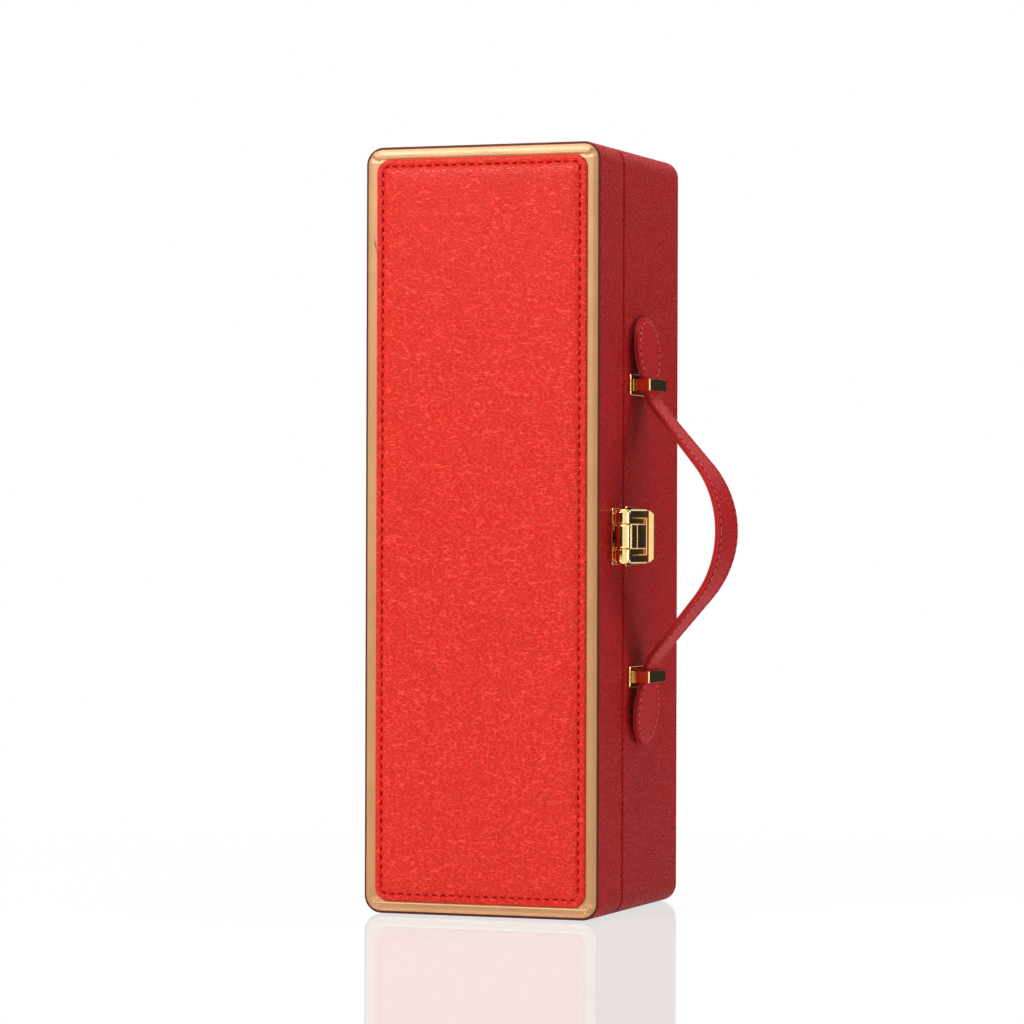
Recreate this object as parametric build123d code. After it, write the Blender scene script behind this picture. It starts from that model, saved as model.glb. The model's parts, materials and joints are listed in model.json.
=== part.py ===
from build123d import *
import math
import os

# An upright leather case for one wine bottle. A shallow lid shell swings on the left side of a
# deeper rear shell. A strap handle and a brass latch are on the right side.
# Millimetres, +Z up, +X towards the handle, -Y towards the padded front panel.
# The origin is the centre of the case's footprint, on the surface that it stands on.

# Case outline
case_width = 112.0
case_depth = 111.0
case_height = 345.0
corner_radius = 8.0
lid_depth = 32.6
seam_gap = 0.5
edge_bevel = 0.6
sharp_corner_below = 1.5

# Layers of the walls
leather = 1.0
facing = 0.8
frame_wall = 6.0
board = 5.0
lining = 1.2
lining_setback = 2.0
glue_line = 0.05
back_margin = 5.0

# Padded front panel
border_width = 4.8
panel_radius = 6.0
panel_rise = 1.8
panel_skin = 0.8
panel_round = 1.2

# Bottle, and the pads that hold it
bottle_radius = 38.2
bottle_clearance = 1.0
neck_radius = 15.0
neck_clearance = 1.0
pad_clearance = 0.3
foot_thickness = 8.0
cradle_length = 175.0
neck_rest_length = 50.0
neck_rest_below_top = 30.4
lid_pad_gap = 1.2
lid_pad_margin = 5.0
pad_round = 3.0

# Screws and rivets, drawn with few sides because there are many and they are small
fastener_sides = 8
shank_radius = 0.9
shank_length = 5.0
head_radius = 1.4
head_height = 0.8
fastener_clearance = 0.05

# Hinges on the left side
hinge_height = 24.0
hinge_spacing = 210.0
hinge_reach = 15.0
hinge_leaf = 1.0
barrel_radius = 2.4
barrel_stand_off = 0.3
barrel_play = 0.3
hinge_pin_radius = 1.1
pin_clearance = 0.05
hinge_screw_spacing = 14.0

# Strap handle, seen from the front: its line, and its outline seen from the right
loop_spacing = 132.0
strap_thickness = 2.4
strap_back_thickness = 1.1
strap_rise_at_loop = 4.9
grip_bend_radius = 46.75
loop_bend_radius = 19.25
leg_angle = 40.0
tail_angle = 5.0
grip_width = 28.5
neck_width = 17.5
leaf_radius = 15.6
leaf_reach = 15.4
neck_offset = 3.0

# Handle loops
loop_width = 24.0
loop_stand_off = 8.8
loop_band = 5.2
loop_thickness = 1.0
loop_chamfer = 0.5
loop_plate_height = 9.6
loop_plate_margin = 4.0
loop_plate_thickness = 1.0
loop_prong_depth = 5.0
plate_corner = 1.0

# Latch
latch_drop = 2.5
latch_axis_before_seam = 15.7
latch_plate_thickness = 1.0
latch_plate_reach = 2.1
latch_ear_radius = 3.3
latch_ear_length = 6.6
latch_ear_round = 2.2
latch_ear_tapers = 2
latch_foot_half_width = 2.0
latch_knuckle_radius = 3.45
latch_knuckle_length = 11.6
latch_knuckle_round = 1.1
latch_knuckle_tapers = 1
latch_play = 0.2
latch_stand_off = 0.4
latch_pin_radius = 1.1
latch_rivet_spacing = 18.0

# Latch flap, before it is tilted about its pin
flap_height = 24.2
flap_length = 27.8
flap_under = 0.7
flap_thickness = 1.2
flap_tilt = 6.0
flap_corner = 3.0
flap_rim_width = 4.1
flap_rim_rise = 1.0
flap_pad_start = 5.5
flap_pad_end = 22.0
flap_pad_split = 12.0
flap_pad_rise = 1.4
flap_groove = 0.5
flap_bevel = 0.6
flap_lip_length = 3.8
flap_lip_rise = 2.6

# Strike plate with its catch, and the spring clip under the flap
strike_length = 17.0
strike_height = 27.2
strike_taper = 1.2
strike_seam_offset = 0.6
strike_rivet_spacing = 18.0
catch_from_pin = 19.5
catch_thickness = 2.0
catch_height = 3.8
catch_width = 7.0
spring_thickness = 0.5
spring_width = 6.0
spring_gap = 0.9
spring_drop = 2.0

# Places worked out from the sizes above
front_y = -case_depth / 2
back_y = case_depth / 2
seam_y = front_y + lid_depth
lid_rim_y = seam_y - seam_gap / 2
rear_rim_y = seam_y + seam_gap / 2
right_x = case_width / 2
left_x = -case_width / 2
mid_z = case_height / 2

frame_inset = leather + glue_line
mouth_inset = frame_inset + frame_wall
lining_inset = mouth_inset + glue_line
room_inset = lining_inset + lining
room_half_width = case_width / 2 - room_inset
room_bottom = room_inset
front_board_y = front_y + facing
front_board_back_y = front_board_y + board
back_board_y = back_y - leather - board
room_front_y = front_board_back_y + lining
room_back_y = back_board_y - lining

channel_radius = bottle_radius + bottle_clearance
groove_radius = neck_radius + neck_clearance
bottle_y = (room_front_y + room_back_y) / 2
bottle_base = room_bottom + foot_thickness
neck_rest_base = case_height - room_inset - neck_rest_below_top - neck_rest_length

hinge_x = left_x - barrel_stand_off - barrel_radius
hinge_zs = {"upper": mid_z + hinge_spacing / 2, "lower": mid_z - hinge_spacing / 2}
loop_zs = {"upper": mid_z + loop_spacing / 2, "lower": mid_z - loop_spacing / 2}

latch_z = mid_z - latch_drop
latch_axis_x = right_x + latch_plate_thickness + latch_stand_off + latch_knuckle_radius
latch_axis_y = seam_y - latch_axis_before_seam
latch_half_height = latch_knuckle_length / 2 + latch_play + latch_ear_length
latch_pin_reach = latch_half_height - latch_ear_round / 2


def rounded_outline(width, height, radius):
    """A rectangle with rounded corners, or with sharp ones where the radius is very small."""
    if radius < sharp_corner_below:
        return Rectangle(width, height)
    return RectangleRounded(width, height, radius)


def rounded_block(width, height, radius, y_from, y_to):
    """A block from y_from back to y_to, with rounded corners seen from the front."""
    outline = rounded_outline(width, height, radius)
    return Pos(0, y_to, mid_z) * extrude(Plane.XZ * outline, amount=y_to - y_from)


def case_block(inset, y_from, y_to):
    """The case's outline, shrunk all round by inset."""
    radius = corner_radius - inset
    return rounded_block(case_width - 2 * inset, case_height - 2 * inset, radius, y_from, y_to)


def wall_pin(x, y, z, radius, length):
    """A short pin square to a side wall, from x in the direction of length's sign."""
    outline = Plane.YZ * RegularPolygon(radius, fastener_sides, major_radius=False)
    return Pos(x, y, z) * extrude(outline, amount=length)


def fastener(x_head, y, z, side):
    """A screw or rivet whose head sits at x_head; side is +1 on the right wall."""
    head = wall_pin(x_head, y, z, head_radius, side * head_height)
    rim = head.faces().sort_by(Axis.X)[-1 if side > 0 else 0].edges()
    head = chamfer(rim, head_height / 2)
    return head + wall_pin(x_head, y, z, shank_radius, -side * shank_length)


def drill(solid, x, places):
    """Cuts the holes of fasteners whose heads sit at x, through one side wall's layers."""
    for y, z in places:
        hole_radius = shank_radius + fastener_clearance
        solid = solid - wall_pin(x + shank_length, y, z, hole_radius, -2 * shank_length)
    return solid


def prongs(clearance):
    """The ends of both loops, which go through the plates and leather into the frame."""
    leg_y = (loop_width - loop_thickness) / 2
    ends = []
    for z in loop_zs.values():
        for y in (-leg_y, leg_y):
            ends.append(Pos(right_x + loop_plate_thickness, y, z) * Box(
                loop_prong_depth + loop_plate_thickness + clearance,
                loop_thickness + 2 * clearance,
                loop_band + 2 * clearance,
                align=(Align.MAX, Align.CENTER, Align.CENTER),
            ))
    return ends


def on_right_wall(outline, y, z, x_from, thickness):
    """A flat piece on the right wall; its outline's x runs along Y and its y along Z."""
    return Pos(x_from, y, z) * extrude(Plane.YZ * outline, amount=thickness)


def seat_places():
    """Where the fasteners go through the walls, as (y, z) lists by what they hold."""
    rear_screws = []
    lid_screws = []
    screw_reach = (barrel_radius + barrel_play + hinge_reach) / 2
    for z in hinge_zs.values():
        for step in (-0.5, 0.5):
            rear_screws.append((seam_y + screw_reach, z + step * hinge_screw_spacing))
            lid_screws.append((seam_y - screw_reach, z + step * hinge_screw_spacing))
    strike_y = rear_rim_y + strike_seam_offset + head_radius + shank_radius
    latch_y = latch_axis_y + latch_axis_before_seam / 2 + shank_radius
    strike_rivets = [(strike_y, latch_z + s * strike_rivet_spacing / 2) for s in (-1, 1)]
    latch_rivets = [(latch_y, latch_z + s * latch_rivet_spacing / 2) for s in (-1, 1)]
    return rear_screws, lid_screws, strike_rivets, latch_rivets


rear_screws, lid_screws, strike_rivets, latch_rivets = seat_places()
leaf_face_x = left_x - hinge_leaf
loop_plate_x = right_x + loop_plate_thickness
latch_plate_x = right_x + latch_plate_thickness


def rear_shell():
    """The rear frame, its back board, and the leather and velvet on them."""
    frame_front = rear_rim_y + leather
    frame = case_block(frame_inset, frame_front, back_board_y)
    frame = frame - case_block(mouth_inset, frame_front, back_board_y)

    back_board = case_block(frame_inset, back_board_y, back_y - leather)

    wrap = case_block(0, rear_rim_y, back_y)
    wrap = chamfer(wrap.faces().sort_by(Axis.Y)[-1].edges(), edge_bevel)
    wrap = wrap - case_block(leather, frame_front, back_y - leather)
    wrap = wrap - case_block(mouth_inset, rear_rim_y, frame_front)
    wrap = wrap - case_block(back_margin, back_y - leather, back_y)

    back_sheet = case_block(back_margin + glue_line, back_y - leather, back_y)

    velvet_front = rear_rim_y + lining_setback
    velvet = case_block(lining_inset, velvet_front, back_board_y)
    velvet = velvet - case_block(room_inset, velvet_front, room_back_y)

    for x, places in ((left_x, rear_screws), (right_x, strike_rivets)):
        frame = drill(frame, x, places)
        wrap = drill(wrap, x, places)
    slots = prongs(fastener_clearance)
    frame = frame - slots
    wrap = wrap - slots
    return {
        "rear_frame": frame,
        "back_board": back_board,
        "rear_leather_wrap": wrap,
        "back_leather_sheet": back_sheet,
        "rear_velvet_lining": velvet,
    }


def lid_shell():
    """The lid frame, its front board, and the leather and velvet on them."""
    frame_back = lid_rim_y - leather
    frame = case_block(frame_inset, front_board_back_y, frame_back)
    frame = frame - case_block(mouth_inset, front_board_back_y, frame_back)

    front_board = case_block(frame_inset, front_board_y, front_board_back_y)

    gold = case_block(frame_inset, front_y, front_board_y)
    gold = chamfer(gold.faces().sort_by(Axis.Y)[0].edges(), facing / 2)

    wrap = case_block(0, front_y + facing / 2, lid_rim_y)
    wrap = chamfer(wrap.faces().sort_by(Axis.Y)[0].edges(), edge_bevel)
    wrap = wrap - case_block(leather, front_y, frame_back)
    wrap = wrap - case_block(mouth_inset, frame_back, lid_rim_y)

    velvet_back = lid_rim_y - lining_setback
    velvet = case_block(lining_inset, front_board_back_y, velvet_back)
    velvet = velvet - case_block(room_inset, room_front_y, velvet_back)

    for x, places in ((left_x, lid_screws), (right_x, latch_rivets)):
        frame = drill(frame, x, places)
        wrap = drill(wrap, x, places)
    return {
        "lid_frame": frame,
        "front_board": front_board,
        "gold_leather_facing": gold,
        "lid_leather_wrap": wrap,
        "lid_velvet_lining": velvet,
    }


def front_panel():
    """The raised panel on the front: a foam core under a leather cover."""
    inset = leather + border_width
    width = case_width - 2 * inset
    height = case_height - 2 * inset
    face_y = front_y - panel_rise
    foam_y = face_y + panel_skin
    cover = rounded_block(width, height, panel_radius, face_y, front_y)
    cover = fillet(cover.faces().sort_by(Axis.Y)[0].edges(), panel_round)
    hollow = rounded_block(
        width - 2 * panel_skin, height - 2 * panel_skin, panel_radius - panel_skin,
        foam_y, front_y,
    )
    core_inset = panel_skin + glue_line
    core = rounded_block(
        width - 2 * core_inset, height - 2 * core_inset, panel_radius - core_inset,
        foam_y, front_y,
    )
    return {"panel_leather": cover - hollow, "panel_foam": core}


def channel_block(radius, z_from, length):
    """A pad across the rear shell with a half-round channel for the bottle or its neck."""
    half_width = room_half_width - pad_clearance
    outline = Pos(0, bottle_y) * Rectangle(
        2 * half_width, room_back_y - bottle_y, align=(Align.CENTER, Align.MIN)
    )
    outline = outline - Pos(0, bottle_y) * Circle(radius)
    lips = outline.vertices().group_by(Axis.Y)[0]
    outline = fillet(lips, min(pad_round, (half_width - radius) / 3))
    return Pos(0, 0, z_from) * extrude(outline, amount=length)


def bottle_pads():
    """The velvet-covered foam that holds the bottle."""
    foot_front = rear_rim_y + lining_setback
    half_width = room_half_width - pad_clearance
    foot = Pos(0, foot_front, room_bottom) * Box(
        2 * half_width, room_back_y - foot_front, foot_thickness,
        align=(Align.CENTER, Align.MIN, Align.MIN),
    )
    pad_back = bottle_y - bottle_radius - lid_pad_gap
    pad_width = 2 * (room_half_width - lid_pad_margin)
    pad_height = case_height - 2 * room_inset - 2 * lid_pad_margin
    lid_pad = rounded_block(pad_width, pad_height, corner_radius, room_front_y, pad_back)
    bevel = min(pad_round, (pad_back - room_front_y) / 2)
    lid_pad = chamfer(lid_pad.faces().sort_by(Axis.Y)[-1].edges(), bevel)
    return {
        "bottle_cradle": channel_block(channel_radius, bottle_base, cradle_length),
        "neck_rest": channel_block(groove_radius, neck_rest_base, neck_rest_length),
        "foot_pad": foot,
        "lid_pad": lid_pad,
    }


def hinge_leaf_solid(z, side, knuckle_zs, knuckle_length):
    """One hinge leaf: side is +1 for the rear shell's leaf and -1 for the lid's."""
    along = Align.MIN if side > 0 else Align.MAX
    start = seam_y + side * (barrel_radius + barrel_play)
    plate = Pos(left_x, start, z) * Box(
        hinge_leaf, hinge_reach, hinge_height, align=(Align.MAX, along, Align.CENTER)
    )
    tips = plate.edges().filter_by(Axis.X).group_by(Axis.Y)[-1 if side > 0 else 0]
    leaf = chamfer(tips, plate_corner)
    for knuckle_z in knuckle_zs:
        barrel = Pos(hinge_x, seam_y, knuckle_z) * Cylinder(barrel_radius, knuckle_length)
        tab = Pos(left_x, seam_y, knuckle_z) * Box(
            hinge_leaf, barrel_radius + barrel_play, knuckle_length,
            align=(Align.MAX, along, Align.CENTER),
        )
        leaf = leaf + barrel + tab
    bore = Pos(hinge_x, seam_y, z) * Cylinder(
        hinge_pin_radius + pin_clearance, 2 * hinge_height
    )
    leaf = leaf - bore
    screws = rear_screws if side > 0 else lid_screws
    return drill(leaf, left_x, screws)


def hinges():
    """Two butt hinges with their barrels just outside the left wall, at the seam."""
    parts = {}
    middle_length = hinge_height / 3
    outer_length = middle_length - barrel_play
    outer_offset = (hinge_height - outer_length) / 2
    for name, z in hinge_zs.items():
        parts[name + "_hinge_rear_leaf"] = hinge_leaf_solid(
            z, 1, [z - outer_offset, z + outer_offset], outer_length
        )
        parts[name + "_hinge_lid_leaf"] = hinge_leaf_solid(
            z, -1, [z], middle_length - barrel_play
        )
        parts[name + "_hinge_pin"] = Pos(hinge_x, seam_y, z) * Cylinder(
            hinge_pin_radius, hinge_height
        )
    return parts


def strap_point(heading, offset, on_bend):
    """A point (x, z above the middle) of the strap's line, moved outwards by offset.

    The strap leaves the grip's top at heading 0, leans in by leg_angle along a straight leg,
    and turns back to tail_angle at the loop.
    """
    lean = math.radians(leg_angle)
    tail = math.radians(tail_angle)
    turn = math.radians(heading)
    rise = grip_bend_radius * math.sin(lean)
    back = loop_bend_radius * (math.sin(lean) - math.sin(tail))
    leg = (loop_spacing / 2 - rise - back) / math.cos(lean)
    tail_x = right_x + strap_rise_at_loop
    bend_x = tail_x + loop_bend_radius * math.cos(tail)
    bend_z = loop_spacing / 2 + loop_bend_radius * math.sin(tail)
    leg_end_x = bend_x - loop_bend_radius * math.cos(lean)
    grip_x = leg_end_x + leg * math.sin(lean) - grip_bend_radius * math.cos(lean)
    if on_bend:
        radius = loop_bend_radius - offset
        return (bend_x - radius * math.cos(turn), bend_z - radius * math.sin(turn))
    radius = grip_bend_radius + offset
    return (grip_x + radius * math.cos(turn), radius * math.sin(turn))


def strap_edge_line(offset):
    """The strap's line from tip to tip in the XZ plane, moved outwards by offset."""
    tail = math.radians(tail_angle)
    tail_length = (leaf_reach + leaf_radius) / math.cos(tail)
    leg_start = strap_point(leg_angle, offset, False)
    leg_end = strap_point(leg_angle, offset, True)
    bend_middle = strap_point((leg_angle + tail_angle) / 2, offset, True)
    bend_end = strap_point(tail_angle, offset, True)
    tip = (
        bend_end[0] - tail_length * math.sin(tail),
        bend_end[1] + tail_length * math.cos(tail),
    )
    top = strap_point(0, offset, False)

    def below(point):
        return (point[0], -point[1])

    return [
        Line(below(tip), below(bend_end)),
        ThreePointArc(below(bend_end), below(bend_middle), below(leg_end)),
        Line(below(leg_end), below(leg_start)),
        ThreePointArc(below(leg_start), top, leg_start),
        Line(leg_start, leg_end),
        ThreePointArc(leg_end, bend_middle, bend_end),
        Line(bend_end, tip),
    ]


def strap_band(from_offset, to_offset):
    """The strap's bent band between two offsets, wider than the strap."""
    inner = strap_edge_line(from_offset)
    outer = strap_edge_line(to_offset)
    ends = [Line(inner[0] @ 0, outer[0] @ 0), Line(inner[-1] @ 1, outer[-1] @ 1)]
    side = make_face(inner + outer + ends)
    band_width = 4 * leaf_radius
    return Pos(0, band_width / 2, mid_z) * extrude(Plane.XZ * side, amount=band_width)


def strap_outline():
    """A column along X with the strap's outline seen from the right."""
    grip_half = grip_width / 2
    neck_half = neck_width / 2
    centre = loop_spacing / 2 + leaf_reach
    neck = loop_spacing / 2 - neck_offset
    drop = centre - neck
    narrowing = leaf_radius - neck_half
    flare = (drop ** 2 - narrowing * (leaf_radius + neck_half)) / (2 * narrowing)
    flare_sine = drop / (leaf_radius + flare)
    flare_cosine = (neck_half + flare) / (leaf_radius + flare)
    join = (leaf_radius * flare_cosine, centre - leaf_radius * flare_sine)
    middle = ((grip_half + neck_half) / 2, neck / 2)
    sweep = TangentArc((grip_half, 0), middle, tangent=(0, 1))
    narrow = TangentArc(middle, (neck_half, neck), tangent=sweep % 1)
    widen = TangentArc((neck_half, neck), join, tangent=(0, 1))
    leaf = TangentArc(join, (0, centre + leaf_radius), tangent=widen % 1)
    quarter = Curve() + [sweep, narrow, widen, leaf]
    half = quarter + mirror(quarter, about=Plane.XZ)
    whole = make_face(half + mirror(half, about=Plane.YZ))
    return Pos(right_x, 0, mid_z) * extrude(Plane.YZ * whole, amount=loop_spacing)


def strap():
    """The handle's strap: face leather stitched to a backing, cut flush at the edge."""
    back_from = -strap_thickness / 2
    face_from = back_from + strap_back_thickness
    face_to = strap_thickness / 2
    outline = strap_outline()
    return {
        "handle_face_leather": strap_band(face_from, face_to) & outline,
        "handle_backing_leather": strap_band(back_from, face_from - glue_line) & outline,
    }


def handle_loops():
    """The two brass loops that the strap passes through, each pronged through its plate."""
    parts = {}
    inside_width = loop_width - 2 * loop_thickness
    for name, z in loop_zs.items():
        outline = Rectangle(loop_width + 2 * loop_plate_margin, loop_plate_height)
        outline = chamfer(outline.vertices(), plate_corner)
        plate = on_right_wall(outline, 0, z, right_x, loop_plate_thickness)
        parts[name + "_loop_plate"] = plate - prongs(fastener_clearance)
        staple = Pos(loop_plate_x, 0, z) * Box(
            loop_stand_off - loop_plate_thickness, loop_width, loop_band,
            align=(Align.MIN, Align.CENTER, Align.CENTER),
        )
        corners = staple.edges().filter_by(Axis.Z).group_by(Axis.X)[-1]
        staple = chamfer(corners, loop_chamfer)
        window = Pos(loop_plate_x, 0, z) * Box(
            loop_stand_off - loop_plate_thickness - loop_thickness, inside_width, loop_band,
            align=(Align.MIN, Align.CENTER, Align.CENTER),
        )
        inner_corners = window.edges().filter_by(Axis.Z).group_by(Axis.X)[-1]
        window = chamfer(inner_corners, max(loop_chamfer - loop_thickness, glue_line))
        legs = [leg for leg in prongs(0) if abs(leg.center().Z - z) < loop_band]
        parts[name + "_loop"] = staple - window + legs
    return parts


def turned_barrel(radius, length, corner, tapers):
    """A barrel standing on the XY plane, its top end rounded off in a number of tapers."""
    points = [(0, 0), (radius, 0)]
    for step in range(tapers + 1):
        turn = math.radians(90 * step / tapers)
        points.append((
            radius - corner * (1 - math.cos(turn)),
            length - corner * (1 - math.sin(turn)),
        ))
    points.append((0, length))
    profile = Plane.XZ * make_face(Polyline(*points, close=True))
    return revolve(profile, Axis.Z)


def latch_plate():
    """The plate on the lid that carries the latch, with an ear at each end of the knuckle.

    Each ear is rounded off at its outer end, which hides the end of the pin.
    """
    front = latch_axis_y - latch_plate_reach
    length = lid_rim_y - strike_seam_offset - front
    outline = Rectangle(length, 2 * latch_half_height)
    outline = chamfer(outline.vertices(), plate_corner)
    plate = on_right_wall(
        outline, front + length / 2, latch_z, right_x, latch_plate_thickness
    )
    plate = drill(plate, right_x, latch_rivets)
    ear = turned_barrel(
        latch_ear_radius, latch_ear_length, latch_ear_round, latch_ear_tapers
    )
    ear = ear + Box(
        latch_axis_x - latch_plate_x, 2 * latch_foot_half_width,
        latch_ear_length - latch_ear_round,
        align=(Align.MAX, Align.CENTER, Align.MIN),
    )
    upper_ear = Pos(0, 0, latch_knuckle_length / 2 + latch_play) * ear
    for ear in (upper_ear, mirror(upper_ear, about=Plane.XY)):
        plate = plate + Pos(latch_axis_x, latch_axis_y, latch_z) * ear
    bore = Pos(latch_axis_x, latch_axis_y, latch_z) * Cylinder(
        latch_pin_radius + pin_clearance, 2 * latch_pin_reach + 2 * latch_play
    )
    return plate - bore


def flap_outline(inset):
    """The flap's rounded outline, as a column square to its plate."""
    start = latch_knuckle_radius + flap_bevel
    length = flap_length - start
    outline = rounded_outline(length - 2 * inset, flap_height - 2 * inset, flap_corner - inset)
    outline = Pos(start + length / 2, 0) * outline
    column = flap_length
    return Pos(-column / 2, 0, 0) * extrude(Plane.YZ * outline, amount=column)


def latch_flap():
    """The flap: a rimmed plate with a raised pad, a turned-out lip and a centre knuckle."""
    top = flap_thickness - flap_under
    lip_start = flap_length - flap_lip_length
    start = latch_knuckle_radius + flap_bevel
    profile = make_face([
        Line((-flap_under, start), (-flap_under, lip_start)),
        TangentArc(
            (-flap_under, lip_start), (flap_lip_rise - flap_under, flap_length), tangent=(0, 1)
        ),
        Line((flap_lip_rise - flap_under, flap_length), (flap_lip_rise + top, flap_length)),
        TangentArc(
            (top, lip_start), (flap_lip_rise + top, flap_length), tangent=(0, 1)
        ),
        Line((top, lip_start), (top, start)),
        Line((top, start), (-flap_under, start)),
    ])
    sheet = Pos(0, 0, -flap_height / 2) * extrude(profile, amount=flap_height)
    sheet = sheet & flap_outline(0)

    rim_band = Pos((top + flap_rim_rise) / 2, 0, 0) * Box(
        top + flap_rim_rise, 3 * flap_length, 2 * flap_height
    )
    rim = flap_outline(0) & rim_band
    rim = rim - flap_outline(flap_rim_width)
    rim = chamfer(rim.faces().sort_by(Axis.X)[-1].edges(), flap_bevel)
    cut_at = Pos(0, lip_start, 0) * Box(
        flap_length, flap_length, 2 * flap_height,
        align=(Align.CENTER, Align.MIN, Align.CENTER),
    )
    rim = rim - cut_at

    pad_length = flap_pad_end - flap_pad_start
    pad = Pos(top, flap_pad_start, 0) * Box(
        flap_pad_rise, pad_length, latch_knuckle_length,
        align=(Align.MIN, Align.MIN, Align.CENTER),
    )
    pad = chamfer(pad.faces().sort_by(Axis.X)[-1].edges(), flap_bevel)
    groove = Pos(top + flap_pad_rise, flap_pad_split, 0) * Rot(0, 0, 45) * Box(
        flap_groove, flap_groove, latch_knuckle_length
    )
    pad = pad - groove

    knuckle = turned_barrel(
        latch_knuckle_radius, latch_knuckle_length / 2, latch_knuckle_round,
        latch_knuckle_tapers,
    )
    knuckle = knuckle + mirror(knuckle, about=Plane.XY)
    web = Pos(-flap_under, 0, 0) * Box(
        flap_thickness + flap_rim_rise, flap_pad_start + flap_bevel, latch_knuckle_length,
        align=(Align.MIN, Align.MIN, Align.CENTER),
    )
    flap = sheet + rim + pad + knuckle + web
    flap = flap - Cylinder(latch_pin_radius + pin_clearance, 2 * latch_knuckle_length)
    return flap_at_rest(flap)


def flap_at_rest(solid):
    """Turns a piece of the flap out by its tilt and moves it to the pin."""
    return Pos(latch_axis_x, latch_axis_y, latch_z) * Rot(0, 0, -flap_tilt) * solid


def spring_clip():
    """A bent strip under the flap whose leg snaps behind the strike plate's catch."""
    start = latch_knuckle_radius + flap_bevel
    reach = catch_from_pin + catch_thickness + spring_gap + spring_thickness
    strip = Pos(-flap_under, start, 0) * Box(
        spring_thickness, reach - start, spring_width,
        align=(Align.MAX, Align.MIN, Align.CENTER),
    )
    leg = Pos(-flap_under, reach, 0) * Box(
        spring_thickness + spring_drop, spring_thickness, spring_width,
        align=(Align.MAX, Align.MAX, Align.CENTER),
    )
    return flap_at_rest(strip + leg)


def latch():
    """The latch across the seam at mid height: plate, pin and flap, and the strike plate."""
    pin = Pos(latch_axis_x, latch_axis_y, latch_z) * Cylinder(
        latch_pin_radius, 2 * latch_pin_reach
    )
    strike_y = rear_rim_y + strike_seam_offset
    near_half = strike_height / 2
    far_half = near_half - strike_taper
    outline = make_face(Polyline(
        (0, near_half), (strike_length, far_half), (strike_length, -far_half),
        (0, -near_half), close=True,
    ))
    outline = chamfer(outline.vertices(), plate_corner)
    strike = on_right_wall(outline, strike_y, latch_z, right_x, latch_plate_thickness)
    strike = drill(strike, right_x, strike_rivets)
    catch = Pos(latch_plate_x, latch_axis_y + catch_from_pin, latch_z) * Box(
        catch_height, catch_thickness, catch_width,
        align=(Align.MIN, Align.MIN, Align.CENTER),
    )
    catch_top = catch.faces().sort_by(Axis.X)[-1].edges().filter_by(Axis.Z)
    catch = chamfer(catch_top, catch_thickness / 4)
    return {
        "latch_plate": latch_plate(),
        "latch_pin": pin,
        "latch_flap": latch_flap(),
        "latch_spring_clip": spring_clip(),
        "latch_strike_plate": strike + catch,
    }


def fasteners():
    """The hinge screws and the rivets, grouped by what they hold."""
    groups = {
        "rear_hinge_screws": (rear_screws, leaf_face_x, -1),
        "lid_hinge_screws": (lid_screws, leaf_face_x, -1),
        "strike_rivets": (strike_rivets, latch_plate_x, 1),
        "latch_plate_rivets": (latch_rivets, latch_plate_x, 1),
    }
    parts = {}
    for name, (places, x, side) in groups.items():
        parts[name] = Compound([fastener(x, y, z, side) for y, z in places])
    return parts


nodes = {
    **rear_shell(),
    **lid_shell(),
    **front_panel(),
    **bottle_pads(),
    **hinges(),
    **strap(),
    **handle_loops(),
    **latch(),
    **fasteners(),
}

os.makedirs("parts", exist_ok=True)
for node, shape in nodes.items():
    export_step(shape, "parts/" + node + ".step")
print(len(nodes), "nodes written")
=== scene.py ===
import json
import math

import bmesh
import bpy
from mathutils import Matrix, Vector, noise


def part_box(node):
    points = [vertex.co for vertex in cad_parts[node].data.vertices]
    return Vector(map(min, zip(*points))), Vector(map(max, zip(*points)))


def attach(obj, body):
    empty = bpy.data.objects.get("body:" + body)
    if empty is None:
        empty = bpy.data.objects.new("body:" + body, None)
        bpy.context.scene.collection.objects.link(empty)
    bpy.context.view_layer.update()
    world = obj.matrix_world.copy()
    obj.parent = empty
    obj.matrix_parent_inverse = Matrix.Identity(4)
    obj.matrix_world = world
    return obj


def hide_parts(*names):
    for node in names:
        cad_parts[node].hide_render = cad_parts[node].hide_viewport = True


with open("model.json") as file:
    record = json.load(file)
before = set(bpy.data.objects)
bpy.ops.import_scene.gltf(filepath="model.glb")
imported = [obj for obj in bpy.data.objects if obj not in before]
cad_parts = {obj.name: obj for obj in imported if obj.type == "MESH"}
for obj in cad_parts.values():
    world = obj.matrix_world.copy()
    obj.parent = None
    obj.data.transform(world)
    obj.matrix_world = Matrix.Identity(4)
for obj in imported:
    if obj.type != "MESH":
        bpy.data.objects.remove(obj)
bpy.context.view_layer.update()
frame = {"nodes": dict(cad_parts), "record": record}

mm = 0.001

# The case's own places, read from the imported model
wrap_low, wrap_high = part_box("rear_leather_wrap")
lid_low, lid_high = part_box("lid_leather_wrap")
gold_low, gold_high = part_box("gold_leather_facing")
panel_low, panel_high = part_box("panel_leather")
rear_lining_low, rear_lining_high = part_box("rear_velvet_lining")
lid_lining_low, lid_lining_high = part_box("lid_velvet_lining")
back_sheet_low, back_sheet_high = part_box("back_leather_sheet")
upper_loop_low, upper_loop_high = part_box("upper_loop")
lower_loop_low, lower_loop_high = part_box("lower_loop")

case_width = wrap_high.x - wrap_low.x
case_height = wrap_high.z - wrap_low.z
mid_z = (wrap_high.z + wrap_low.z) / 2
right_x = wrap_high.x
corner_radius = 8.0 * mm
corner_steps = 12
smallest_corner = 0.5 * mm
leather_thickness = 1.0 * mm
mouth_inset = 7.05 * mm

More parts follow.
